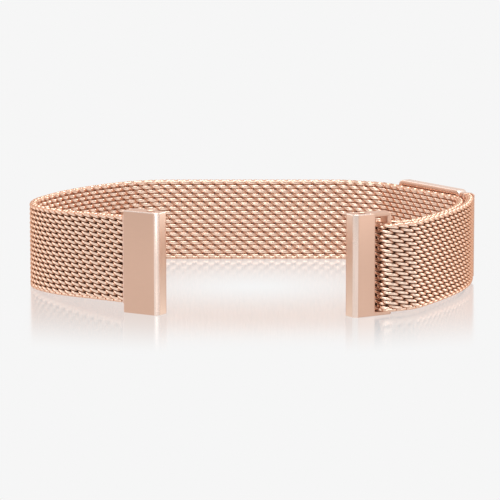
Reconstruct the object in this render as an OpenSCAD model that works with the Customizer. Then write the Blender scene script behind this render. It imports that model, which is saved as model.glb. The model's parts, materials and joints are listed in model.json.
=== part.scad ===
// Woven wire wrist band with a magnetic fold-back clasp, standing on its long edge.
// +Z is up, +X runs from the plain end bar to the slotted one, and the loop closes towards +Y.
// Every run of mesh follows a plan route of [length, turn] steps, with left turns positive.

/* [Mesh] */
// Width of the woven mesh, which is its height as the band stands
mesh_w = 13; // [12.5:0.1:13.2]
// Thickness of the woven mesh
mesh_t = 1.3; // [1:0.05:1.4]
// Free length at each flexing place, taken up by one joining spiral
flex_gap = 1.1; // [1:0.05:1.2]
// Radius of a joining spiral's envelope
spiral_r = 0.4; // [0.3:0.05:0.42]

/* [End bars] */
// Height of both end bars
bar_h = 15.3; // [15:0.1:16]
// Depth of both end bars, from the outer face to the wrist side
bar_t = 2.7; // [2.6:0.1:3]
// Width of the plain end bar
left_bar_w = 6.1; // [5.8:0.1:6.5]
// Width of the solid part of the slotted end bar
right_bar_w = 3.7; // [3.5:0.1:3.7]
// Turn of both outer faces away from the X axis
bar_turn = 32; // [31:0.5:33]
// Radius of the hole for a spring bar
pin_bore_r = 0.65; // [0.6:0.01:0.8]

/* [Slot] */
// Clear width of the slot that the mesh folds through
slot_w = 2.1; // [2.05:0.05:2.3]
// Wall above and below the slot
slot_wall = 0.6; // [0.5:0.05:0.6]
// Width of the crossbar that the mesh folds round
crossbar_w = 0.8; // [0.7:0.05:0.8]
// Depth of the crossbar
crossbar_t = 2.2; // [2:0.1:2.2]
// Gap between the crossbar and the mesh
fold_gap = 0.25; // [0.2:0.01:0.25]

/* [Clasp] */
// Length of the clasp plate
clasp_l = 16; // [15:0.1:16.2]
// Height of the clasp plate
clasp_h = 13.8; // [13.7:0.1:14.4]
// Thickness of the clasp plate
clasp_t = 1.7; // [1.6:0.05:1.9]
// Radius of the hinge knuckles
knuckle_r = 0.55; // [0.5:0.01:0.6]
// Radius of the hinge pin
hinge_pin_r = 0.3; // [0.25:0.01:0.32]
// Radial play of the tail's knuckle on the pin
hinge_play = 0.04; // [0.02:0.01:0.06]

/* [Hidden] */
$fn = 96;
cut = 0.5; // overrun of every cutting shape past the face that it cuts
arc_step = 4; // turn between two points of a curved outline

// Heights of the mesh above the standing surface: it sags between its two ends
left_front_z = 1.0;
left_side_z = 0.4;
rear_z = 0;
right_arm_z = 0.3;
fold_z = slot_wall + 0.05;

// Outer gap-side corners of the two end bars
left_corner = [-14.05, -26.59];
right_corner = [14.9, -28.39];
corner_r = 0.7; // rounding of the bars' upright edges
pin_inset = 2.1; // hole centre from the gap-side face
strip_l = 1.3; // how far the mesh's brazed end reaches into the plain bar
strip_play = 0.05;
left_mesh_inset = 0.85; // mesh centre behind the plain bar's outer face

// Direction of travel where the mesh leaves the plain bar
left_heading = 134;
left_front_route = [[5.4, 0], [9, -9]];
left_side_route = [[6.6, -13], [12.6, -43]];
left_back_route = [[17.6, -27]];
rear_corner_route = [[9.6, -42]];

// The right side starts in the slot and travels round the back of the crossbar to the rear
fold_back_turn = 116;
fold_lead = 1.2;
arm_route = [[0.9, 0], [3.4, 54], [8, 4.5], [7, 7], [7, 9], [6.6, 16], [3.6, 27.5]];
corner_route = [[3, 30], [1.7, 0]];
rear_end_route = [[1.6, 0], [2.6, 26]];

// The tail starts in the slot too and travels round the front of the crossbar
tail_near_route = [[3.1, 27], [7.9, 5]];
tail_mid_route = [[8, 7], [6.9, 11]];
tail_far_route = [[3, 5], [3.3, 12]];
tail_lead = 0.8;

// Parts of the clasp
clasp_setback = 1.1; // plate's end from the hinge axis
clasp_corner_r = 1.0;
clasp_wall = 0.35; // outer wall and back plate
clasp_rim = 0.8; // solid rim round the cavity
clasp_gap = 0.2; // between the strap and the clasp plate
knuckle_h = 2.0; // height of each of the clasp's two knuckles
knuckle_space = 0.15;
clasp_knuckle_z = 0.4;
keeper_t = 0.3;
magnet_t = 0.65;
magnet_count = 4;
magnet_space = 0.25;
inner_play = 0.05;
end_bar_l = 1.1; // length of the metal bar brazed to the mesh's tail end
end_bar_lap_t = 0.25;
end_bar_lap = 1.3;

// Unit vectors along and out of the outer face of each end bar
left_u = [-cos(bar_turn), sin(bar_turn)];
left_n = [-sin(bar_turn), -cos(bar_turn)];
right_u = [cos(bar_turn), sin(bar_turn)];
right_n = [sin(bar_turn), -cos(bar_turn)];
crossbar_u = right_bar_w + slot_w + crossbar_w / 2;
fold_r = crossbar_w / 2 + fold_gap + mesh_t / 2;

function left_at(u, n) = left_corner + u * left_u + n * left_n;
function right_at(u, n) = right_corner + u * right_u + n * right_n;

// A plan place is [x, y, heading]. One step of a route moves it on.
function turn_r(step) = step[0] / (step[1] * PI / 180);
function moved(p, d) = [p[0] + d * cos(p[2]), p[1] + d * sin(p[2]), p[2]];
function after_turn(p, r, a) =
    [p[0] + r * (sin(p[2] + a) - sin(p[2])), p[1] + r * (cos(p[2]) - cos(p[2] + a)), p[2] + a];
function beside(p, d) = [p[0] - d * sin(p[2]), p[1] + d * cos(p[2])];
function after_step(p, step) = step[1] == 0 ? moved(p, step[0]) : after_turn(p, turn_r(step), step[1]);
function after_route(p, route, i = 0) =
    i == len(route) ? p : after_route(after_step(p, route[i]), route, i + 1);
function backwards(route) = [for (i = [len(route) - 1:-1:0]) [route[i][0], -route[i][1]]];
function plan(place) = [place[0], place[1]];

// The places along one step, without its last, and along a whole route
function step_parts(step) = max(1, ceil(abs(step[1]) / arc_step));
function step_places(p, step, n) = [for (k = [0:n - 1]) after_step(p, [step[0] * k / n, step[1] * k / n])];
function route_places(p, route, i = 0) =
    i == len(route) ? [p] :
    concat(step_places(p, route[i], step_parts(route[i])), route_places(after_step(p, route[i]), route, i + 1));

// Plan places down the left side
left_start = left_at(left_bar_w, -left_mesh_inset);
left_bar_end = [left_start[0], left_start[1], left_heading];
left_front_start = moved(left_bar_end, flex_gap);
left_front_end = after_route(left_front_start, left_front_route);
left_side_start = moved(left_front_end, flex_gap);
left_side_end = after_route(left_side_start, left_side_route);
left_back_start = moved(left_side_end, flex_gap);
left_back_end = after_route(left_back_start, left_back_route);
rear_start = moved(left_back_end, flex_gap);
rear_corner = after_route(rear_start, rear_corner_route);

// Plan places from the slot to the rear. The straight beside the clasp closes the loop.
slot_back = right_at(crossbar_u - fold_r, -(crossbar_t - crossbar_w / 2));
slot_back_place = [slot_back[0], slot_back[1], bar_turn + 90];
fold_back_end = after_turn(slot_back_place, -fold_r, -fold_back_turn);
arm_start = moved(fold_back_end, fold_lead);
arm_end = after_route(arm_start, arm_route);
past_arm_route = concat([[flex_gap, 0]], corner_route, [[flex_gap, 0]], rear_end_route);
past_arm = after_route([0, 0, arm_end[2]], past_arm_route);
clasp_side_l = (rear_corner[1] - arm_end[1] - past_arm[1]) / sin(arm_end[2]);
clasp_side_end = moved(arm_end, clasp_side_l);
corner_start = moved(clasp_side_end, flex_gap);
corner_end = after_route(corner_start, corner_route);
rear_end_start = moved(corner_end, flex_gap);
rear_end = after_route(rear_end_start, rear_end_route);
rear_l = rear_end[0] - rear_corner[0];

// Plan places along the tail
slot_front = right_at(crossbar_u - fold_r, -crossbar_w / 2);
slot_front_place = [slot_front[0], slot_front[1], bar_turn - 90];
fold_front_end = after_turn(slot_front_place, fold_r, 90);
fold_end = moved(fold_front_end, tail_lead);
tail_near_start = moved(fold_end, flex_gap);
tail_near_end = after_route(tail_near_start, tail_near_route);
tail_mid_start = moved(tail_near_end, flex_gap);
tail_mid_end = after_route(tail_mid_start, tail_mid_route);
tail_far_start = moved(tail_mid_end, flex_gap);
tail_far_end = after_route(tail_far_start, tail_far_route);
hinge_place = moved(tail_far_end, end_bar_l + knuckle_r);
clasp_heading = arm_end[2];

// How far the hinge axis stands out from the middle of the straight mesh beside the clasp
hinge_out = -(plan(hinge_place) - plan(arm_end)) * [-sin(clasp_heading), cos(clasp_heading)];
clasp_face_y = hinge_out - mesh_t / 2 - clasp_gap;

// A run of mesh along a route, with its plan outline half a thickness to each side
module mesh_run(p, route, z) {
    places = route_places(p, route);
    left_side = [for (q = places) beside(q, mesh_t / 2)];
    right_side = [for (i = [len(places) - 1:-1:0]) beside(places[i], -mesh_t / 2)];
    translate([0, 0, z]) linear_extrude(mesh_w) polygon(concat(left_side, right_side));
}

// The spiral that joins two runs stands in the middle of the free length after a place
module spiral(p, z) {
    translate(concat(plan(moved(p, flex_gap / 2)), [z])) cylinder(r = spiral_r, h = mesh_w);
}

// Plan outline of a bar, from its gap-side outer corner, with rounded upright edges
module bar_outline(w, t) {
    for (x = [corner_r, w - corner_r], y = [corner_r, t - corner_r])
        translate([x, y]) circle(r = corner_r);
    translate([corner_r, 0]) square([w - 2 * corner_r, t]);
    translate([0, corner_r]) square([w, t - 2 * corner_r]);
}

// Places a bar's own axes: X along the outer face, Y towards the wrist
module at_left_bar() {
    translate(left_corner) rotate(-bar_turn) mirror([1, 0, 0]) children();
}

module at_right_bar() {
    translate(right_corner) rotate(bar_turn) children();
}

module pin_hole() {
    translate([pin_inset, bar_t / 2, -cut]) cylinder(r = pin_bore_r, h = bar_h + 2 * cut);
}

// The brazed end of the mesh, in the plain bar's own axes
module end_strip(play) {
    translate([left_bar_w - strip_l - play, left_mesh_inset - mesh_t / 2 - play, left_front_z - play])
        cube([strip_l + 2 * play, mesh_t + 2 * play, mesh_w + 2 * play]);
}

module left_end_bar() {
    color("#d6ab95") at_left_bar() difference() {
        linear_extrude(bar_h) bar_outline(left_bar_w, bar_t);
        pin_hole();
        end_strip(strip_play);
    }
}

module left_end_strip() {
    color("#c99b84") at_left_bar() end_strip(0);
}

// Solid bar, the two arms beside the slot and the crossbar, all one casting
module right_end_bar() {
    color("#d6ab95") at_right_bar() {
        difference() {
            linear_extrude(bar_h) bar_outline(right_bar_w, bar_t);
            pin_hole();
        }
        for (z = [0, bar_h - slot_wall])
            translate([right_bar_w - corner_r, 0, z])
                cube([crossbar_u - right_bar_w + corner_r, crossbar_t, slot_wall]);
        crossbar();
    }
}

module crossbar() {
    r = crossbar_w / 2;
    translate([crossbar_u, r, 0]) {
        cylinder(r = r, h = bar_h);
        translate([0, crossbar_t - crossbar_w, 0]) cylinder(r = r, h = bar_h);
        translate([-r, 0, 0]) cube([crossbar_w, crossbar_t - crossbar_w, bar_h]);
    }
}

module mesh_left_front() {
    color("#dcae97") mesh_run(left_front_start, left_front_route, left_front_z);
}

module mesh_left_side() {
    color("#dcae97") mesh_run(left_side_start, left_side_route, left_side_z);
}

module mesh_left_back() {
    color("#dcae97") mesh_run(left_back_start, left_back_route, rear_z);
}

module mesh_rear() {
    color("#dcae97")
        mesh_run(rear_start, concat(rear_corner_route, [[rear_l, 0]], backwards(rear_end_route)), rear_z);
}

module mesh_right_corner() {
    color("#dcae97") mesh_run(corner_start, corner_route, rear_z);
}

module mesh_right_arm() {
    color("#dcae97") mesh_run(arm_start, concat(arm_route, [[clasp_side_l, 0]]), right_arm_z);
}

// The mesh where it wraps the crossbar, from the wrist side through the slot to the front
module mesh_fold() {
    back_l = fold_r * fold_back_turn * PI / 180;
    front_l = fold_r * 90 * PI / 180;
    turned = [arm_start[0], arm_start[1], arm_start[2] + 180];
    in_slot = [crossbar_t - crossbar_w, 0];
    route = [[fold_lead, 0], [back_l, fold_back_turn], in_slot, [front_l, 90], [tail_lead, 0]];
    color("#dcae97") mesh_run(turned, route, fold_z);
}

module mesh_tail_near() {
    color("#dcae97") mesh_run(tail_near_start, tail_near_route, fold_z);
}

module mesh_tail_mid() {
    color("#dcae97") mesh_run(tail_mid_start, tail_mid_route, fold_z);
}

module mesh_tail_far() {
    color("#dcae97") mesh_run(tail_far_start, tail_far_route, fold_z);
}

module spiral_left_bar() {
    color("#c4917a") spiral(left_bar_end, left_front_z);
}

module spiral_left_front() {
    color("#c4917a") spiral(left_front_end, left_side_z);
}

module spiral_left_side() {
    color("#c4917a") spiral(left_side_end, rear_z);
}

module spiral_left_back() {
    color("#c4917a") spiral(left_back_end, rear_z);
}

module spiral_right_rear() {
    color("#c4917a") spiral(corner_end, rear_z);
}

module spiral_right_corner() {
    color("#c4917a") spiral(clasp_side_end, rear_z);
}

module spiral_tail_fold() {
    color("#c4917a") spiral(fold_end, fold_z);
}

module spiral_tail_near() {
    color("#c4917a") spiral(tail_near_end, fold_z);
}

module spiral_tail_mid() {
    color("#c4917a") spiral(tail_mid_end, fold_z);
}

// Metal bar brazed to the end of the tail, with the middle knuckle of the clasp's hinge
module tail_end_bar() {
    low = clasp_knuckle_z + knuckle_h + knuckle_space;
    high = clasp_h - low;
    color("#d6ab95") difference() {
        union() {
            translate(plan(tail_far_end)) rotate(tail_far_end[2]) {
                translate([0, -mesh_t / 2, fold_z]) cube([end_bar_l, mesh_t, mesh_w]);
                translate([-end_bar_lap, -mesh_t / 2 - end_bar_lap_t, fold_z])
                    cube([end_bar_lap + end_bar_l, end_bar_lap_t, mesh_w]);
                translate([0, -knuckle_r / 2, low]) cube([end_bar_l + knuckle_r, knuckle_r, high - low]);
            }
            translate(concat(plan(hinge_place), [low])) cylinder(r = knuckle_r, h = high - low);
        }
        translate(concat(plan(hinge_place), [0])) cylinder(r = hinge_pin_r + hinge_play, h = clasp_h);
    }
}

// Places the clasp's own axes: X along the plate from the hinge, Y towards the strap
module at_clasp() {
    translate(plan(hinge_place)) rotate(clasp_heading) translate([0, clasp_face_y, 0]) children();
}

// Outline of the plate seen from outside, lying flat, with rounded free corners
module clasp_outline(inset) {
    r = clasp_corner_r - inset / 2;
    l = clasp_l - 2 * inset;
    h = clasp_h - 2 * inset;
    translate([clasp_setback + inset, inset]) {
        for (x = [r, l - r], y = [r, h - r])
            translate([x, y]) circle(r = r);
        translate([r, 0]) square([l - 2 * r, h]);
        translate([0, r]) square([l, h - 2 * r]);
    }
}

// A slab of the plate between two depths, counted outwards from the face on the strap
module clasp_slab(inset, from, to) {
    rotate([90, 0, 0]) translate([0, 0, from]) linear_extrude(to - from) clasp_outline(inset);
}

module clasp_cover() {
    color("#d6ab95") at_clasp() {
        difference() {
            union() {
                clasp_slab(0, 0, clasp_t);
                for (z = [clasp_knuckle_z, clasp_h - clasp_knuckle_z - knuckle_h]) {
                    translate([0, -clasp_face_y, z]) cylinder(r = knuckle_r, h = knuckle_h);
                    translate([0, -clasp_face_y - knuckle_r, z])
                        cube([clasp_setback + clasp_rim, knuckle_r, knuckle_h]);
                }
            }
            clasp_slab(clasp_rim, -cut, clasp_t - clasp_wall);
            translate([0, -clasp_face_y, 0]) cylinder(r = hinge_pin_r, h = clasp_h);
        }
    }
}

module clasp_back_plate() {
    color("#c98f78") at_clasp() clasp_slab(clasp_rim + inner_play, 0, clasp_wall);
}

module clasp_keeper() {
    top = clasp_t - clasp_wall;
    color("#8d8f93") at_clasp() clasp_slab(clasp_rim + 2 * inner_play, top - keeper_t, top);
}

// Flat bar magnets side by side along the plate
module clasp_magnets() {
    inside = clasp_rim + 6 * inner_play;
    pitch = (clasp_l - 2 * inside + magnet_space) / magnet_count;
    color("#a7a9ad") at_clasp()
        for (i = [0:magnet_count - 1])
            translate([clasp_setback + inside + i * pitch, -clasp_wall - magnet_t, inside])
                cube([pitch - magnet_space, magnet_t, clasp_h - 2 * inside]);
}

module clasp_hinge_pin() {
    color("#c4917a") translate(concat(plan(hinge_place), [clasp_knuckle_z]))
        cylinder(r = hinge_pin_r, h = clasp_h - 2 * clasp_knuckle_z);
}

left_end_bar();
left_end_strip();
right_end_bar();
mesh_left_front();
mesh_left_side();
mesh_left_back();
mesh_rear();
mesh_right_corner();
mesh_right_arm();
mesh_fold();
mesh_tail_near();
mesh_tail_mid();
mesh_tail_far();
spiral_left_bar();
spiral_left_front();
spiral_left_side();
spiral_left_back();
spiral_right_rear();
spiral_right_corner();
spiral_tail_fold();
spiral_tail_near();
spiral_tail_mid();
tail_end_bar();
clasp_cover();
clasp_back_plate();
clasp_magnets();
clasp_keeper();
clasp_hinge_pin();
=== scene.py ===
"""Looks of a woven wire wrist band with a fold-back magnetic clasp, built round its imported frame.

Plan sizes are in millimetres and are turned into metres where a mesh is made. The band is one
long strip: a plan route carries it from the plain bar, round the rear, through the slot and back
along the tail. A place on the strip is given by s, its way along the route, n, its way to the left
of the route, and z, its height above the strip's lower edge.
"""

import json
import math

import bmesh
import bpy
import numpy as np
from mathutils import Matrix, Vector


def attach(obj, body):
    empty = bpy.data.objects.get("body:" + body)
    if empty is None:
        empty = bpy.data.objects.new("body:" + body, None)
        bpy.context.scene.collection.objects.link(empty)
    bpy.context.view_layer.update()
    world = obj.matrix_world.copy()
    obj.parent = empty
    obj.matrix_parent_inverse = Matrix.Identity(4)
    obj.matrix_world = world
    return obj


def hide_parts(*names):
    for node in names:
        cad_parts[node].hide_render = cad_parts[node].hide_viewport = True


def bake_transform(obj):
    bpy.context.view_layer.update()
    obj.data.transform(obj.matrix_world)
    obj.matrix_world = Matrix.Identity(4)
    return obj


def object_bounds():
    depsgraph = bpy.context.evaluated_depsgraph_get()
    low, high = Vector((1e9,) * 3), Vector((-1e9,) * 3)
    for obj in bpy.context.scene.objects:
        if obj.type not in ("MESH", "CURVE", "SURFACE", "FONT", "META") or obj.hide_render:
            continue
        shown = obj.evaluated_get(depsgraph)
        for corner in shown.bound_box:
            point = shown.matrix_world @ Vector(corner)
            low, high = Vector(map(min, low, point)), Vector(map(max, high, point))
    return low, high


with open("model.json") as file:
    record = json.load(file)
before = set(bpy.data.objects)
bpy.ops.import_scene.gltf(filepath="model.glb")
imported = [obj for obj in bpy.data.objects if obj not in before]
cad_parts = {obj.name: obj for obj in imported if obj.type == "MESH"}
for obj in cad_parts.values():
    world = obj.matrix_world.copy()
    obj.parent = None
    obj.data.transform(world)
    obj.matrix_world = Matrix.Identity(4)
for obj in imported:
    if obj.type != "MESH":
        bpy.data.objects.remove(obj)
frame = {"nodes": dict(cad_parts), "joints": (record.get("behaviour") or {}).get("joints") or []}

CAD_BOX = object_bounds()
MM = 0.001
JOINTS = {j["name"]: j for j in frame["joints"]}


# ---------------------------------------------------------------- node helpers

def math_node(tree, operation, *values, vector=False):
    """A math node whose inputs are numbers, vectors or other nodes' outputs."""
    node = tree.nodes.new("ShaderNodeVectorMath" if vector else "ShaderNodeMath")
    node.operation = operation
    for socket, value in zip(node.inputs, values):
        if isinstance(value, bpy.types.NodeSocket):
            tree.links.new(value, socket)
        else:
            socket.default_value = value
    return node


def map_range(tree, value, from_range=(0.0, 1.0), to_range=(0.0, 1.0), interpolation="LINEAR"):
    """Carries a value from one range to another, and holds it there."""
    node = tree.nodes.new("ShaderNodeMapRange")
    node.interpolation_type = interpolation
    names = ("From Min", "From Max", "To Min", "To Max")
    for name, number in zip(names, (*from_range, *to_range)):
        node.inputs[name].default_value = number
    tree.links.new(value, node.inputs["Value"])
    return node.outputs["Result"]


def mix_colours(tree, factor, first, second):
    """Mixes two colours, each a triple or another node's output."""
    node = tree.nodes.new("ShaderNodeMix")
    node.data_type = "RGBA"
    for name, colour in (("A", first), ("B", second)):
        if isinstance(colour, bpy.types.NodeSocket):
            tree.links.new(colour, node.inputs[name])
        else:
            node.inputs[name].default_value = (*colour, 1)
    tree.links.new(factor, node.inputs["Factor"])
    return node.outputs["Result"]


# ---------------------------------------------------------------- camera, floor and light

CAMERA_AT = Vector((-0.45, -500.8, 83.7)) * MM
CAMERA_PITCH = 8.85  # degrees down
CAMERA_VIEW_ANGLE = 8.745  # degrees across the image
CAMERA_SENSOR_W = 36.0
CAMERA_CLIP = (0.01, 20)
FLOOR_SIZE = 6.0
BACKDROP = 0.922  # linear value of the pale grey-white behind and below the band
FLOOR_GLOSS = 0.52  # share of gloss where the band stands, seen along the floor
FLOOR_FADE = 1.1  # how far the gloss reaches from there, as a share of the band's half size
FLOOR_ROUGHNESS = 0.13
TENT_FRONT = 0.73  # linear value of the tent on the camera's side
TENT_FADE = (0.2, 0.75)  # where the tent turns from that to the backdrop's value, front to back
LIGHT_TARGET = (0, 0, 0.01)
SOFT_BOXES = [  # name, place, size, power in watts
    ("overhead", (0, -0.15, 1.2), (1.2, 0.9), 13.5),
    ("front_box", (-0.5, -1.3, 0.25), (0.45, 0.45), 1.9),
    ("left_rear_box", (-1.2, 0.6, 0.35), (0.5, 0.6), 0.8),
    ("right_rear_box", (1.2, 0.6, 0.35), (0.5, 0.6), 1.9),
    ("right_front_box", (1.3, -0.65, 0.25), (0.45, 0.45), 0.75),
]


def make_camera():
    data = bpy.data.cameras.new("camera")
    data.sensor_width = CAMERA_SENSOR_W
    data.lens = CAMERA_SENSOR_W / 2 / math.tan(math.radians(CAMERA_VIEW_ANGLE / 2))
    data.clip_start, data.clip_end = CAMERA_CLIP
    camera = bpy.data.objects.new("camera", data)
    camera.location = CAMERA_AT
    camera.rotation_euler = (math.radians(90 - CAMERA_PITCH), 0, 0)
    bpy.context.scene.collection.objects.link(camera)
    bpy.context.scene.camera = camera


def gloss_round_band(tree):
    """A gloss that fades away from the oval on which the band stands, and is weak from above."""
    place = tree.nodes.new("ShaderNodeTexCoord").outputs["Object"]
    low, high = CAD_BOX
    to_unit_circle = (2 / (high[0] - low[0]), 2 / (high[1] - low[1]), 0)
    scaled = math_node(tree, "MULTIPLY", place, to_unit_circle, vector=True).outputs["Vector"]
    reach = math_node(tree, "LENGTH", scaled, vector=True).outputs["Value"]
    from_oval = math_node(tree, "SUBTRACT", reach, 1.0).outputs["Value"]
    either_side = math_node(tree, "ABSOLUTE", from_oval).outputs["Value"]
    fade = map_range(tree, either_side, (0.0, FLOOR_FADE), (FLOOR_GLOSS, 0.0), "SMOOTHSTEP")
    grazing = tree.nodes.new("ShaderNodeLayerWeight").outputs["Facing"]
    return math_node(tree, "MULTIPLY", fade, grazing).outputs["Value"]


def make_floor():
    """An evenly lit white table with a soft gloss."""
    mesh = bpy.data.meshes.new("floor")
    half = FLOOR_SIZE / 2
    corners = [(-half, -half, 0), (half, -half, 0), (half, half, 0), (-half, half, 0)]
    mesh.from_pydata(corners, [], [(0, 1, 2, 3)])
    floor = bpy.data.objects.new("floor", mesh)
    bpy.context.scene.collection.objects.link(floor)
    mat = bpy.data.materials.new("floor_white")
    mat.use_nodes = True
    nodes, links = mat.node_tree.nodes, mat.node_tree.links
    nodes.remove(nodes["Principled BSDF"])
    glow = nodes.new("ShaderNodeEmission")
    glow.inputs["Color"].default_value = (BACKDROP, BACKDROP, BACKDROP, 1)
    gloss = nodes.new("ShaderNodeBsdfAnisotropic")
    gloss.inputs["Color"].default_value = (1, 1, 1, 1)
    gloss.inputs["Roughness"].default_value = FLOOR_ROUGHNESS
    both = nodes.new("ShaderNodeMixShader")
    links.new(gloss_round_band(mat.node_tree), both.inputs["Fac"])
    links.new(glow.outputs[0], both.inputs[1])
    links.new(gloss.outputs[0], both.inputs[2])
    links.new(both.outputs[0], nodes["Material Output"].inputs["Surface"])
    mesh.materials.append(mat)


def area_light(name, place, size, power):
    data = bpy.data.lights.new(name, "AREA")
    data.shape = "RECTANGLE"
    data.size, data.size_y = size
    data.energy = power
    lamp = bpy.data.objects.new(name, data)
    lamp.location = place
    aim = Vector(LIGHT_TARGET) - Vector(place)
    lamp.rotation_euler = aim.to_track_quat("-Z", "Y").to_euler()
    bpy.context.scene.collection.objects.link(lamp)


def make_light():
    """A white tent, darker on the camera's side, with soft boxes above and to the sides."""
    scene = bpy.context.scene
    world = bpy.data.worlds.new("studio")
    world.use_nodes = True
    nodes, links = world.node_tree.nodes, world.node_tree.links
    split = nodes.new("ShaderNodeSeparateXYZ")
    ramp = nodes.new("ShaderNodeValToRGB")
    links.new(nodes.new("ShaderNodeTexCoord").outputs["Generated"], split.inputs[0])
    towards_back = map_range(world.node_tree, split.outputs["Y"], from_range=(-1.0, 1.0))
    links.new(towards_back, ramp.inputs[0])
    links.new(ramp.outputs["Color"], nodes["Background"].inputs["Color"])
    values = (TENT_FRONT, BACKDROP)
    for element, position, value in zip(ramp.color_ramp.elements, TENT_FADE, values):
        element.position, element.color = position, (value, value, value, 1)
    scene.world = world
    for box in SOFT_BOXES:
        area_light(*box)
    scene.view_settings.view_transform = "Standard"
    scene.view_settings.look = "None"


# ---------------------------------------------------------------- materials

GRAIN_DETAIL = 4
BUMP_DEPTH = 0.02
SHADE_ATTRIBUTE = "depth"  # point attribute of the mesh, holding painted shade: 0 on its faces, 1 in its crevices


def paint_crevice_shade(tree, shader, colour, tones):
    """Paints shade into the crevices: turns a colour into each tone in turn, and makes the metal
    less metallic there.
    """
    depth = tree.nodes.new("ShaderNodeAttribute")
    depth.attribute_name = SHADE_ATTRIBUTE
    for i, tone in enumerate(tones):
        stage = (i / len(tones), (i + 1) / len(tones))
        colour = mix_colours(tree, map_range(tree, depth.outputs["Fac"], stage), colour, tone)
    shine = math_node(tree, "SUBTRACT", 1.0, depth.outputs["Fac"]).outputs["Value"]
    tree.links.new(shine, shader.inputs["Metallic"])
    shader.inputs["Specular IOR Level"].default_value = 0.0
    return colour


def metal(name, colour, spread, rough, grain, bump=0.0, stretch=(1, 1, 1),
          edge_tint=(0.95, 0.85, 0.8), painted_shade_tones=()):
    """Plated metal: two close tones and a roughness, from stretched noise, with a fine bump, and
    painted shade in its crevices when it is given shade tones.
    """
    mat = bpy.data.materials.new(name)
    mat.use_nodes = True
    tree = mat.node_tree
    nodes, links = tree.nodes, tree.links
    shader = nodes["Principled BSDF"]
    shader.inputs["Metallic"].default_value = 1.0
    shader.inputs["Specular Tint"].default_value = (*edge_tint, 1)
    mapping = nodes.new("ShaderNodeMapping")
    mapping.inputs["Scale"].default_value = stretch
    links.new(nodes.new("ShaderNodeTexCoord").outputs["Object"], mapping.inputs["Vector"])
    noise = nodes.new("ShaderNodeTexNoise")
    noise.inputs["Scale"].default_value = grain
    noise.inputs["Detail"].default_value = GRAIN_DETAIL
    links.new(mapping.outputs["Vector"], noise.inputs["Vector"])
    speckle = noise.outputs["Fac"]
    darker = [c * (1 - spread) for c in colour]
    lighter = [min(1, c * (1 + spread)) for c in colour]
    base = mix_colours(tree, speckle, darker, lighter)
    if painted_shade_tones:
        base = paint_crevice_shade(tree, shader, base, painted_shade_tones)
    links.new(base, shader.inputs["Base Color"])
    links.new(map_range(tree, speckle, to_range=rough), shader.inputs["Roughness"])
    if bump:
        relief = nodes.new("ShaderNodeBump")
        relief.inputs["Strength"].default_value = bump
        relief.inputs["Distance"].default_value = BUMP_DEPTH * MM
        links.new(speckle, relief.inputs["Height"])
        links.new(relief.outputs["Normal"], shader.inputs["Normal"])
    return mat


SATIN = dict(spread=0.03, rough=(0.33, 0.42), grain=700, bump=0.12, stretch=(1, 1, 12))
# The wire's two crevice tones are painted shade: brown, then near black.
WIRE = metal("rose_gold_wire_painted_shade", (1.0, 0.725, 0.58), spread=0.05, rough=(0.09, 0.17), grain=1800,
             edge_tint=(0.8, 0.45, 0.3),
             painted_shade_tones=((0.58, 0.29, 0.18), (0.03, 0.008, 0.003)))
BAR = metal("satin_rose_gold", (0.715, 0.465, 0.352), **SATIN)
CLASP = metal("brushed_rose_gold", (0.63, 0.395, 0.295), spread=0.04, rough=(0.22, 0.36),
              grain=900, bump=0.2, stretch=(1, 1, 16))
BRAZE = metal("braze_filler", (0.78, 0.55, 0.45), spread=0.14, rough=(0.3, 0.5), grain=1600,
              bump=0.8)
# A lighter copy of the satin metal for the bars' end faces: painted light.
END_FACE_PAINTED_LIGHT = metal("rose_gold_painted_lighter", (0.82, 0.62, 0.50), **SATIN)
# Polished edges: real polish with less roughness, and a lighter colour as a painted highlight.
POLISHED_HIGHLIGHT = metal("polished_edge_painted_highlight", (0.89, 0.71, 0.62), spread=0.02, rough=(0.22, 0.3), grain=700)
PIN = metal("polished_pin", (0.86, 0.64, 0.53), spread=0.03, rough=(0.1, 0.2), grain=800)
STEEL = metal("plain_steel", (0.50, 0.51, 0.53), spread=0.08, rough=(0.35, 0.5), grain=600,
              bump=0.2)
MAGNET = metal("nickel_plate", (0.56, 0.56, 0.58), spread=0.05, rough=(0.2, 0.3), grain=500,
               bump=0.1)


# ---------------------------------------------------------------- the strip's route

FLEX_GAP = 1.1  # length of strip that each CAD spiral takes up
BAR_TURN = 32.0  # of the slotted bar in plan, in degrees; the plain bar mirrors it
LEFT_HEADING = 134.0  # of the route where it leaves the plain bar
CROSSBAR_W, CROSSBAR_T = 0.8, 2.2
MESH_W, MESH_T = 13.0, 1.3
FOLD_PLAY = 0.25  # between the mesh and the crossbar
FOLD_R = CROSSBAR_W / 2 + FOLD_PLAY + MESH_T / 2
SLOT_RUN = CROSSBAR_T - CROSSBAR_W
OPEN = None  # a straight whose length closes the loop
ROUTE_SPACING = 0.02  # of the route's samples

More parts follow.
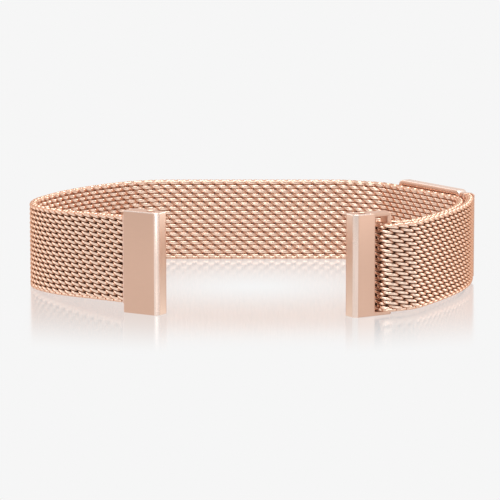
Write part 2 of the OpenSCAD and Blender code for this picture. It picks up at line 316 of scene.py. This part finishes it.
# Each run of mesh: its CAD node, its body, the CAD spiral that joins it to the run before, and the
# steps of its route, each a length and the degrees that it turns to the left.
RUNS = [
    ("mesh_left_front", "left_front_run", "spiral_left_bar", [(5.4, 0), (9, -9)]),
    ("mesh_left_side", "left_side_run", "spiral_left_front", [(6.6, -13), (12.6, -43)]),
    ("mesh_left_back", "left_back_run", "spiral_left_side", [(17.6, -27)]),
    ("mesh_rear", "rear_run", "spiral_left_back", [(9.6, -42), (OPEN, 0), (2.6, -26), (1.6, 0)]),
    ("mesh_right_corner", "right_corner_run", "spiral_right_rear", [(1.7, 0), (3, -30)]),
    ("mesh_right_arm", "right_arm_run", "spiral_right_corner",
     [(OPEN, 0), (3.6, -27.5), (6.6, -16), (7, -9), (7, -7), (8, -4.5), (3.4, -54), (0.9, 0)]),
    ("mesh_fold", "right_arm_run", None,
     [(1.2, 0), (FOLD_R * math.radians(116), 116), (SLOT_RUN, 0),
      (FOLD_R * math.radians(90), 90), (0.8, 0)]),
    ("mesh_tail_near", "tail_near_run", "spiral_tail_fold", [(3.1, 27), (7.9, 5)]),
    ("mesh_tail_mid", "tail_mid_run", "spiral_tail_near", [(8, 7), (6.9, 11)]),
    ("mesh_tail_far", "tail_far_run", "spiral_tail_mid", [(3, 5), (3.3, 12)]),
]
STEPS_BEFORE_SLOT_MIDDLE = 2  # of the fold's own; the slot's middle is half a slot run further


def unit(degrees):
    return np.array([math.cos(math.radians(degrees)), math.sin(math.radians(degrees))])


def joint_place(name):
    return np.array(JOINTS[name]["pos_m"][:2]) / MM


def step_chord(length, turn, heading):
    """Where one step of a route ends, from its start."""
    half = math.radians(turn / 2)
    shrink = math.sin(half) / half if turn else 1.0
    return length * shrink * unit(heading + turn / 2)


def closing_lengths():
    """Where the strip starts, and the two open straights' lengths that take it to the slot."""
    start = joint_place("left_bar_flex") - FLEX_GAP / 2 * unit(LEFT_HEADING)
    slot_middle = joint_place("right_bar_swivel") - FOLD_R * unit(BAR_TURN)
    heading, known, open_directions = LEFT_HEADING, np.zeros(2), []
    for name, _, spiral, route in RUNS:
        if spiral:
            known += FLEX_GAP * unit(heading)
        for i, (length, turn) in enumerate(route):
            if name == "mesh_fold" and i == STEPS_BEFORE_SLOT_MIDDLE:
                known += SLOT_RUN / 2 * unit(heading)
                directions = np.array(open_directions).T
                return start, np.linalg.solve(directions, slot_middle - start - known)
            if length is OPEN:
                open_directions.append(unit(heading))
            else:
                known += step_chord(length, turn, heading)
            heading += turn


class Strip:
    """The strip's plan route as fine samples, with the way at which each run starts and ends."""

    def __init__(self):
        place, closing = closing_lengths()
        closing, heading, way = list(closing), LEFT_HEADING, 0.0
        samples = [(way, *place, heading)]
        self.runs = []
        for name, body, spiral, route in RUNS:
            steps = ([(FLEX_GAP, 0)] if spiral else []) + route
            run_start = way + (FLEX_GAP if spiral else 0)
            for length, turn in steps:
                length = closing.pop(0) if length is OPEN else length
                count = math.ceil(length / ROUTE_SPACING)
                for _ in range(count):
                    place = place + step_chord(length / count, turn / count, heading)
                    heading += turn / count
                    way += length / count
                    samples.append((way, *place, heading))
            self.runs.append((name, body, spiral, run_start, way))
        self.length = way
        self.samples = np.array(samples).T

    def plan(self, s, n):
        """Plan places, in millimetres, at s along the route and n to its left."""
        ways, xs, ys, headings = self.samples
        s_in = np.clip(s, 0, self.length)
        heading = np.radians(np.interp(s_in, ways, headings))
        x, y = np.interp(s_in, ways, xs), np.interp(s_in, ways, ys)
        past = s - s_in
        return np.stack([x + past * np.cos(heading) - n * np.sin(heading),
                         y + past * np.sin(heading) + n * np.cos(heading)], axis=-1)

    def heading(self, s):
        return float(np.interp(s, self.samples[0], self.samples[3]))

    def set_lift(self, pairs):
        self.lift_ways, self.lifts = zip(*pairs)

    def lift(self, s):
        """How high the strip's lower edge stands: it sags between its two bars."""
        return np.interp(s, self.lift_ways, self.lifts)

    def point(self, s, n, z):
        """Places in the row frame, in metres."""
        upright = (z + self.lift(s))[..., None]
        return np.concatenate([self.plan(s, n), upright], axis=-1) * MM


STRIP = Strip()
RUN_START = {name: start for name, _, _, start, _ in STRIP.runs}
FOLD_START, RIGHT_ARM_START = RUN_START["mesh_fold"], RUN_START["mesh_right_arm"]
STRIP.set_lift([(0, 1.4), (8, 1.05), (16, 0.55), (26, 0.1), (36, 0.0),
                (RIGHT_ARM_START + 14, 0.0), (FOLD_START - 6, 0.45), (FOLD_START + 1.2, 0.65),
                (STRIP.length, 0.65)])


# ---------------------------------------------------------------- building meshes

SHARP_DEGREES = 35  # an edge that turns by more stays sharp


def new_mesh(name, points, faces, materials):
    """A smooth-shaded piece from points in metres."""
    mesh = bpy.data.meshes.new(name)
    mesh.from_pydata([tuple(p) for p in points], [], [tuple(f) for f in faces])
    mesh.polygons.foreach_set("use_smooth", [True] * len(mesh.polygons))
    for material in materials:
        mesh.materials.append(material)
    piece = bpy.data.objects.new(name, mesh)
    bpy.context.scene.collection.objects.link(piece)
    return piece


def sharpen(mesh):
    """Turns a closed skin's faces outwards, and marks its sharp edges."""
    limit = math.radians(SHARP_DEGREES)
    shape = bmesh.new()
    shape.from_mesh(mesh)
    bmesh.ops.recalc_face_normals(shape, faces=shape.faces)
    for edge in shape.edges:
        edge.smooth = len(edge.link_faces) != 2 or edge.calc_face_angle() < limit
    shape.to_mesh(mesh)
    shape.free()


def ring_faces(first, rings, sides, around=False):
    """Quads between rings of points, closed by end caps or, when around, by the first ring."""
    quads = []
    for r in range(rings if around else rings - 1):
        low, high = first + r * sides, first + (r + 1) % rings * sides
        quads += [(low + k, low + (k + 1) % sides, high + (k + 1) % sides, high + k)
                  for k in range(sides)]
    if not around:
        quads.append(tuple(first + sides - 1 - k for k in range(sides)))
        quads.append(tuple(first + (rings - 1) * sides + k for k in range(sides)))
    return quads


def union(piece, others):
    """Joins overlapping closed solids into one skin."""
    for other in others:
        modifier = piece.modifiers.new("join", "BOOLEAN")
        modifier.operation, modifier.solver, modifier.object = "UNION", "EXACT", other
        bpy.context.view_layer.update()
        evaluated = piece.evaluated_get(bpy.context.evaluated_depsgraph_get())
        joined = bpy.data.meshes.new_from_object(evaluated)
        piece.modifiers.clear()
        piece.data = joined
        bpy.data.objects.remove(other)
    piece.data.polygons.foreach_set("use_smooth", [True] * len(piece.data.polygons))
    sharpen(piece.data)


# ---------------------------------------------------------------- woven wire

COIL_PITCH = 0.9  # from one coil's axis to the next, along the strip
TURN_PITCH = 1.42  # height of one turn
WIRE_THICK, WIRE_HIGH = 0.19, 0.228  # half sizes of the rolled wire, through the mesh and up it
COIL_REACH = 1.08  # of the wire's centre line from the coil's axis, along the strip
COIL_DEPTH = MESH_T / 2 - WIRE_THICK
TURN_POINTS = 16
WIRE_SIDES = 8
END_LOOP = 0.35  # turn of wire laid along each edge of the strip
TURN_SPREAD = (1.1, 0.35)  # how much thicker the wire is, across and up, where it turns back
TURN_TIGHTNESS = 6  # how closely that spread keeps to the turn
WORN_SPREAD = 0.35  # how much higher the wire is on the wrist side

# A value for the outer side and one for the wrist side
FLATNESS = (0.8, 1.2)  # below 1, a strand keeps to the face for longer
CROWN = (1.05, 2.0)  # above 1, a strand is crowned and dips towards its ends
LEVELLING = (-0.1, 0.7)  # above 0, a strand lies more level, and the turns climb more

# Depths between which shade is painted into the wire, as shares of half the mesh's thickness
OUTSIDE_SHADE = (0.235, 0.385)
INSIDE_SHADE = (0.18, 0.56)
INSIDE_SHARE = 0.5  # share of that painted shade on the wrist side, where less shade is painted
EDGE_SHADE = 0.2  # even painted shade on the wire along the strip's edges, which dims their glare
SOLDER = (0.44, 0.13)  # half sizes of the solder along an edge, through the mesh and up it
SOLDER_SQUARENESS = 0.6  # 1 is an ellipse, and less is squarer
SOLDER_SIDES = 12
SOLDER_STEP = 0.45
FLEX_REACH = 2.45  # how far from a hinge the mesh takes up its bend


def circle_angles(count):
    return np.arange(count) * 2 * math.pi / count


def tube_rings(line, half_across, half_high):
    """Rings of points round a line, kept from twisting by a fixed upward reference.

    The half sizes are given at each point of the line."""
    ahead = np.gradient(line, axis=0)
    ahead /= np.linalg.norm(ahead, axis=1)[:, None]
    side = np.cross(ahead, np.array([0, 0, 1.0]))
    side /= np.linalg.norm(side, axis=1)[:, None]
    up = np.cross(side, ahead)
    angles = circle_angles(WIRE_SIDES)[None, :, None]
    return line[:, None] + (half_across[:, None, None] * np.cos(angles) * side[:, None]
                            + half_high[:, None, None] * np.sin(angles) * up[:, None])


def smoothstep(low, high, values):
    t = np.clip((values - low) / (high - low), 0, 1)
    return t * t * (3 - 2 * t)


def signed_power(values, power):
    return np.sign(values) * np.abs(values) ** power


def outer_side(s):
    """1 where the strip's left is its outer side, and -1 from the fold on."""
    return np.where(s < FOLD_START, 1, -1)


def coil_rings(index):
    """Rings round the wire of one flattened coil, in strip places. Its ends lie along the edges."""
    low, high = WIRE_HIGH, MESH_W - WIRE_HIGH
    turns = np.arange(-END_LOOP, (high - low) / TURN_PITCH + END_LOOP, 1 / TURN_POINTS)
    angle = 2 * math.pi * (turns + 0.5 * (index % 2))
    axis = (index + 0.5) * COIL_PITCH
    outside = outer_side(axis) * np.sin(angle) > 0
    s = axis - COIL_REACH * signed_power(np.cos(angle), np.where(outside, *FLATNESS))
    n = COIL_DEPTH * signed_power(np.sin(angle), np.where(outside, *CROWN))
    rise = turns + np.where(outside, *LEVELLING) * np.sin(2 * angle) / (4 * math.pi)
    line = np.stack([s, n, np.clip(low + TURN_PITCH * rise, low, high)], axis=-1)
    turning = np.cos(angle) ** TURN_TIGHTNESS
    worn = np.where(outside, 0, np.sin(angle) ** 2)
    half_across = WIRE_THICK * (1 + TURN_SPREAD[0] * turning)
    half_high = WIRE_HIGH * (1 + WORN_SPREAD * worn + TURN_SPREAD[1] * turning)
    return tube_rings(line, half_across, half_high)


def solder_rings(s_from, s_to, z_middle):
    """Rings round the solder along one edge of the strip, in strip places."""
    count = max(2, math.ceil((s_to - s_from) / SOLDER_STEP))
    angles = circle_angles(SOLDER_SIDES)
    n = SOLDER[0] * signed_power(np.cos(angles), SOLDER_SQUARENESS)
    z = z_middle + SOLDER[1] * signed_power(np.sin(angles), SOLDER_SQUARENESS)
    return np.array([np.column_stack([np.full(SOLDER_SIDES, s), n, z])
                     for s in np.linspace(s_from, s_to, count + 1)])


def painted_shade_amount(s, n, z):
    """How much shade is painted on a place on the wire, from 0 on a face to 1 in a crevice."""
    depth = 1 - np.abs(n) / (MESH_T / 2)
    shade = np.where(outer_side(s) * n > 0, smoothstep(*OUTSIDE_SHADE, depth),
                     INSIDE_SHARE * smoothstep(*INSIDE_SHADE, depth))
    # Near the edges the crevice shade gives way to an even painted shade.
    off_edge = smoothstep(WIRE_HIGH, 2 * WIRE_HIGH, np.minimum(z, MESH_W - z))
    return shade * off_edge + EDGE_SHADE * (1 - off_edge)


def mesh_piece(name, s_from, s_to):
    """The coils whose axes lie between two places on the strip, and the solder at both edges."""
    tubes = [coil_rings(i) for i in range(int(STRIP.length / COIL_PITCH))
             if s_from <= (i + 0.5) * COIL_PITCH < s_to]
    tubes += [solder_rings(s_from, s_to, z) for z in (WIRE_HIGH, MESH_W - WIRE_HIGH)]
    points, faces, painted_shades = [], [], []
    for rings in tubes:
        faces += ring_faces(sum(len(p) for p in points), *rings.shape[:2])
        places = rings.reshape(-1, 3).T
        points.append(STRIP.point(*places))
        painted_shades.append(painted_shade_amount(*places))
    piece = new_mesh(name, np.concatenate(points), faces, [WIRE])
    # The painted shade, kept as a point attribute that the wire's material reads.
    attribute = piece.data.attributes.new(SHADE_ATTRIBUTE, "FLOAT", "POINT")
    attribute.data.foreach_set("value", np.concatenate(painted_shades).astype(np.float32))
    return piece


def make_mesh():
    """One piece for each rigid run, and one for each place where the strip bends."""
    place, previous_body = 0.0, "left_bar"
    for i, (node, body, spiral, start, end) in enumerate(STRIP.runs):
        if spiral:
            hinge = start - FLEX_GAP / 2
            piece = mesh_piece("woven_" + spiral, place, hinge + FLEX_REACH)
            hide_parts(spiral)
            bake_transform(piece)
            place = hinge + FLEX_REACH
        if i + 1 < len(STRIP.runs) and STRIP.runs[i + 1][2]:
            end += FLEX_GAP / 2 - FLEX_REACH
        piece = mesh_piece("woven_" + node, place, end)
        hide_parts(node)
        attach(piece, body)
        place, previous_body = end, body


# ---------------------------------------------------------------- blocks

CORNER_POINTS = 8
BEVEL_PARTS = 3
HIGHLIGHT_SLOT, PAINTED_LIGHT_SLOT = 1, 2  # of a solid's materials: the polished edge with its painted highlight, and the end face painted lighter as painted light


def rounded_outline(low, high, radii, inset=0.0, first_parts=CORNER_POINTS, side_parts=1):
    """A rectangle with its own radius at each corner, moved inwards by an inset.

    It goes anticlockwise from the low corner, which has first_parts facets. Each straight side
    is cut into side_parts."""
    middles = [(low[0] + radii[0], low[1] + radii[0]), (high[0] - radii[1], low[1] + radii[1]),
               (high[0] - radii[2], high[1] - radii[2]), (low[0] + radii[3], high[1] - radii[3])]
    points = []
    for quarter, (middle, r) in enumerate(zip(middles, radii)):
        parts = CORNER_POINTS if quarter else first_parts
        for k in range(parts + 1):
            angle = math.radians(180 + 90 * quarter + 90 * k / parts)
            points.append((middle[0] + (r - inset) * math.cos(angle),
                           middle[1] + (r - inset) * math.sin(angle)))
    points = np.array(points)
    corner_ends = np.cumsum([first_parts + 1] + [CORNER_POINTS + 1] * 3)
    shares = np.arange(1, side_parts)[:, None] / side_parts
    sides = [points[end - 1] * (1 - shares) + points[end % len(points)] * shares
             for end in corner_ends]
    corners = np.split(points, corner_ends[:-1])
    return np.concatenate([part for pair in zip(corners, sides) for part in pair])


def hole_outline(outline, middle, r):
    """A circle with its points in line with an outline's."""
    away = outline - np.array(middle)
    return np.array(middle) + r * away / np.linalg.norm(away, axis=1)[:, None]


def bevel_steps(size, parts=BEVEL_PARTS):
    """Inset and height of a rounded edge's points, from the flat end to the upright side."""
    angles = np.radians(np.linspace(0, 90, parts + 1))
    return [(size * (1 - math.sin(a)), size * (1 - math.cos(a))) for a in angles]


def levelled(outline, height):
    return np.column_stack([outline, np.full(len(outline), height)])


def upright_block(low, high, radii, z_low, z_high, bevel, hole=None,
                  first_parts=CORNER_POINTS, side_parts=1):
    """Rings of an upright block with rounded ends.

    A hole is the middle and radius of a chamfered hole through it."""
    steps = [(inset, z_low + rise) for inset, rise in bevel_steps(bevel)]
    steps += [(inset, z_high - rise) for inset, rise in reversed(bevel_steps(bevel))]
    rings = [levelled(rounded_outline(low, high, radii, inset, first_parts, side_parts), z)
             for inset, z in steps]
    if hole:
        middle, r = hole
        chamfer = bevel / 2
        hole_steps = [(chamfer, z_high), (0, z_high - chamfer), (0, z_low + chamfer),
                      (chamfer, z_low)]
        for wider, z in hole_steps:
            rings.append(levelled(hole_outline(rings[0][:, :2], middle, r + wider), z))
    return np.array(rings)


def placed(rings, corner, along, front):
    """A part's rings in the row frame, in metres, from X along it and Y from its front back."""
    x = corner[0] + rings[..., 0] * along[0] - rings[..., 1] * front[0]
    y = corner[1] + rings[..., 0] * along[1] - rings[..., 1] * front[1]
    return np.stack([x, y, rings[..., 2]], axis=-1) * MM


def solid(name, rings, material, around=False):
    faces = ring_faces(0, *rings.shape[:2], around)
    # Each solid also carries the polished material, lighter as a painted highlight, and the end
    # face's lighter colour as painted light.
    piece = new_mesh(name, rings.reshape(-1, 3), faces, [material, POLISHED_HIGHLIGHT, END_FACE_PAINTED_LIGHT])
    sharpen(piece.data)
    return piece


# ---------------------------------------------------------------- end bars

LEFT_CORNER, RIGHT_CORNER = np.array([-14.05, -26.59]), np.array([14.9, -28.39])
LEFT_AXES = (LEFT_CORNER, unit(180 - BAR_TURN), -unit(90 - BAR_TURN))
RIGHT_AXES = (RIGHT_CORNER, unit(BAR_TURN), unit(BAR_TURN - 90))
BAR_H, BAR_T = 15.3, 2.7
LEFT_BAR_W, RIGHT_BAR_W = 6.1, 3.7
PIN_INSET, PIN_BORE_R = 2.1, 0.65
NEAR_R, FAR_R, BACK_R = 0.6, 0.25, 0.5  # rounding of a bar's upright edges
EDGE_BEVEL = 0.16
NEAR_FACETS = 2
SIDE_PARTS = 10  # of each straight side, so that the bore's points lie evenly
SLOT_W, SLOT_WALL = 2.1, 0.6
ARM_OVERLAP, ARM_SUNK = 1.0, 0.01  # of the arms above and below the slot, inside the bar
ARM_R, ARM_BEVEL = 0.2, 0.1


def polish_and_highlight_edges(bar, sides):
    """Polishes the near upright edge and the bevel round the top, giving them a painted highlight,
    and paints the end face lighter, as painted light.
    """
    top_bevel = range(BEVEL_PARTS + 1, 2 * BEVEL_PARTS + 1)
    for r in range(2 * BEVEL_PARTS + 1):
        for k in range(sides):
            face = bar.data.polygons[r * sides + k]
            if k < NEAR_FACETS or r in top_bevel:
                face.material_index = HIGHLIGHT_SLOT
            elif k >= sides - SIDE_PARTS:
                face.material_index = PAINTED_LIGHT_SLOT


def bar_block(name, width, axes):
    """The block of an end bar, with its pin bore."""
    rings = upright_block((0, 0), (width, BAR_T), (NEAR_R, FAR_R, BACK_R, BACK_R), 0, BAR_H,
                          EDGE_BEVEL, ((PIN_INSET, BAR_T / 2), PIN_BORE_R), NEAR_FACETS,
                          SIDE_PARTS)
    bar = solid(name, placed(rings, *axes), BAR, around=True)
    polish_and_highlight_edges(bar, rings.shape[1])
    return bar


def make_left_bar():
    bar = bar_block("plain_end_bar", LEFT_BAR_W, LEFT_AXES)
    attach(bar, "left_bar")
    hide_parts("left_end_bar")


def make_right_bar():
    bar = bar_block("slotted_end_bar", RIGHT_BAR_W, RIGHT_AXES)
    post_from = RIGHT_BAR_W + SLOT_W
    arm_low = (RIGHT_BAR_W - ARM_OVERLAP, ARM_SUNK)
    arm_high = (post_from + CROSSBAR_W / 2, CROSSBAR_T - ARM_SUNK)
    parts = []
    for i, z in enumerate((0, BAR_H - SLOT_WALL)):
        arm = upright_block(arm_low, arm_high, (ARM_R,) * 4, z + ARM_SUNK,
                            z + SLOT_WALL - ARM_SUNK, ARM_BEVEL)
        parts.append(solid(f"arm_{i}", placed(arm, *RIGHT_AXES), BAR))
    post = upright_block((post_from, 0), (post_from + CROSSBAR_W, CROSSBAR_T),
                         (CROSSBAR_W / 2,) * 4, 0, BAR_H, EDGE_BEVEL)
    parts.append(solid("post", placed(post, *RIGHT_AXES), BAR))
    union(bar, parts)
    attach(bar, "right_bar")
    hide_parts("right_end_bar")


# ---------------------------------------------------------------- braze at the plain bar

BRAZE_L = 1.3  # inside the bar
BRAZE_BEAD = 0.35  # how far the filler stands past the bar's end face
BRAZE_SPREAD = 0.1  # past the mesh's upper and lower edges
BRAZE_RADII, BRAZE_BEVEL = (0.1, 0.3, 0.3, 0.1), 0.09
BRAZE_STEP = 0.2  # size of the bead's parts
BRAZE_WAVES = [(0.04, 5.1, 0), (0.03, 11.7, 4)]  # height, and frequency up and through the bead
MESH_INSET = 0.85  # of the mesh's middle from the bar's front


def make_braze():
    lift = float(STRIP.lift(0.0))
    low = (LEFT_BAR_W - BRAZE_L, MESH_INSET - MESH_T / 2)
    high = (LEFT_BAR_W + BRAZE_BEAD, MESH_INSET + MESH_T / 2)
    block = upright_block(low, high, BRAZE_RADII, lift - BRAZE_SPREAD,
                          lift + MESH_W + BRAZE_SPREAD, BRAZE_BEVEL)
    rings = []
    for start, end in zip(block[:-1], block[1:]):
        parts = max(1, int(np.abs(end - start).max() / BRAZE_STEP))
        rings += [start + (end - start) * k / parts for k in range(parts)]
    rings = np.array(rings + [block[-1]])
    wave = sum(height * np.sin(rings[..., 2] * up + rings[..., 1] * through)
               for height, up, through in BRAZE_WAVES)
    rings[..., 0] += np.where(rings[..., 0] > LEFT_BAR_W, wave, 0)
    bead = solid("braze_fillet", placed(rings, *LEFT_AXES), BRAZE)
    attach(bead, "left_bar")
    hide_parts("left_end_strip")


# ---------------------------------------------------------------- clasp and tail bar

CLASP_L, CLASP_H, CLASP_T = 16.0, 13.8, 1.7
CLASP_HEADING = 124.0
CLASP_SETBACK, CLASP_GAP = 1.1, 0.2  # from the hinge's axis, and from the mesh
CLASP_BESIDE = 1.0  # where along the right arm's run the gap is measured
CLASP_CORNER_R = 1.0
CLASP_WALL, CLASP_RIM = 0.35, 0.8
CLASP_CHAMFER, CLASP_EDGE = 0.06, 0.1  # round the hollow and round the plate, on the mesh's side
CLASP_ROUNDING, ROUNDING_PARTS = 0.25, 6
CLASP_SIDE_FROM = 3  # first ring of the plate's outer edge
KNUCKLE_R, KNUCKLE_H, KNUCKLE_Z, KNUCKLE_SPACE = 0.55, 2.0, 0.4, 0.15
KNUCKLE_BEVEL = 0.08
PIN_R, PIN_PLAY, PIN_GRIP = 0.3, 0.04, 0.005  # play in the middle knuckle, grip in the others
LUG_FROM, LUG_SHORT = 0.35, 0.1  # from the hinge's axis, and short of the rim's inner edge
LUG_R, LUG_BEVEL = 0.1, 0.06
TAIL_BAR_L, TAIL_BAR_R, TAIL_BAR_BEVEL = 1.1, 0.25, 0.12
TAIL_LAP, TAIL_LAP_T, LAP_SHORT, LAP_R, LAP_BEVEL = 1.3, 0.25, 0.1, 0.1, 0.08
TONGUE_FROM, TONGUE_PAST, TONGUE_HALF_T, TONGUE_R, TONGUE_BEVEL = 0.3, 0.4, 0.25, 0.05, 0.04
SUNK = 0.02  # how far a joined part's faces lie inside those of its neighbour
HINGE = joint_place("clasp_hinge")


def knuckle(name, z_low, z_high, bore):
    r = KNUCKLE_R
    rings = upright_block((-r, -r), (r, r), (r,) * 4, z_low, z_high, KNUCKLE_BEVEL,
                          ((0, 0), bore))
    return solid(name, (rings + np.append(HINGE, 0)) * MM, CLASP, around=True)


def clasp_face():
    """Depth of the plate's mesh side from the hinge's axis, towards the mesh."""
    beside = STRIP.plan(RIGHT_ARM_START + CLASP_BESIDE, 0.0)
    return float((beside - HINGE) @ unit(CLASP_HEADING + 90)) - MESH_T / 2 - CLASP_GAP


def make_clasp():
    along, to_mesh = unit(CLASP_HEADING), unit(CLASP_HEADING + 90)
    face = clasp_face()
    # Insets and depths, from the hollow's floor over the rim and down the outer edge
    steps = [(CLASP_RIM, CLASP_WALL - CLASP_T), (CLASP_RIM, -CLASP_CHAMFER),
             (CLASP_RIM - CLASP_CHAMFER, 0), (CLASP_EDGE, 0),
             (0.3 * CLASP_EDGE, -0.3 * CLASP_EDGE), (0, -CLASP_EDGE)]
    steps += [(inset, rise - CLASP_T)
              for inset, rise in reversed(bevel_steps(CLASP_ROUNDING, ROUNDING_PARTS))]
    rings = []
    for inset, depth in steps:
        outline = rounded_outline((CLASP_SETBACK, 0), (CLASP_SETBACK + CLASP_L, CLASP_H),
                                  [CLASP_CORNER_R] * 4, inset)
        plan = HINGE + outline[:, :1] * along + (face + depth) * to_mesh
        rings.append(np.column_stack([plan, outline[:, 1]]))
    cover = solid("clasp_plate", np.array(rings) * MM, CLASP)
    sides = len(rings[0])
    # The plate's outer edge gets the polished material, whose lighter colour is a painted
    # highlight.
    for r in range(CLASP_SIDE_FROM, len(rings) - 1):
        for k in range(2 * (CORNER_POINTS + 1), sides - 1):
            cover.data.polygons[r * sides + k].material_index = HIGHLIGHT_SLOT
    parts = []
    for i, z in enumerate((KNUCKLE_Z, CLASP_H - KNUCKLE_Z - KNUCKLE_H)):
        parts.append(knuckle(f"knuckle_{i}", z, z + KNUCKLE_H, PIN_R + PIN_GRIP))
        lug_high = (CLASP_SETBACK + CLASP_RIM - LUG_SHORT, KNUCKLE_R - SUNK)
        lug = upright_block((LUG_FROM, SUNK), lug_high, (LUG_R,) * 4, z + SUNK,
                            z + KNUCKLE_H - SUNK, LUG_BEVEL)
        parts.append(solid(f"lug_{i}", placed(lug, HINGE, along, to_mesh), CLASP))
    union(cover, parts)
    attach(cover, "clasp")
    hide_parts("clasp_cover")


def make_tail_bar():
    lift = float(STRIP.lift(STRIP.length))
    heading = STRIP.heading(STRIP.length)
    axes = (STRIP.plan(STRIP.length, 0.0), unit(heading), unit(heading + 90))
    half = MESH_T / 2
    knuckle_low = KNUCKLE_Z + KNUCKLE_H + KNUCKLE_SPACE
    knuckle_high = CLASP_H - knuckle_low
    body = upright_block((0, -half), (TAIL_BAR_L, half), (TAIL_BAR_R,) * 4, lift, lift + MESH_W,
                         TAIL_BAR_BEVEL)
    tongue = upright_block((TONGUE_FROM, -TONGUE_HALF_T),
                           (TAIL_BAR_L + TONGUE_PAST, TONGUE_HALF_T), (TONGUE_R,) * 4,
                           knuckle_low + SUNK, knuckle_high - SUNK, TONGUE_BEVEL)
    lap = upright_block((-TAIL_LAP, half - SUNK), (TAIL_BAR_L - LAP_SHORT, half + TAIL_LAP_T),
                        (LAP_R,) * 4, lift + SUNK, lift + MESH_W - SUNK, LAP_BEVEL)
    bar = solid("tail_bar", placed(body, *axes), BAR)
    union(bar, [solid("tongue", placed(tongue, *axes), BAR),
                solid("lap", placed(lap, *axes), BAR),
                knuckle("middle_knuckle", knuckle_low, knuckle_high, PIN_R + PIN_PLAY)])
    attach(bar, "tail_far_run")
    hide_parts("tail_end_bar")


# ---------------------------------------------------------------- the whole scene

NODE_MATERIALS = {"clasp_back_plate": CLASP, "clasp_magnets": MAGNET, "clasp_keeper": STEEL,
                  "clasp_hinge_pin": PIN}


def finish_cad_nodes():
    for node in frame["nodes"].values():
        node.data.materials.clear()
    for name, material in NODE_MATERIALS.items():
        frame["nodes"][name].data.materials.append(material)


make_camera()
make_floor()
make_light()
make_mesh()
make_left_bar()
make_right_bar()
make_braze()
make_clasp()
make_tail_bar()
finish_cad_nodes()
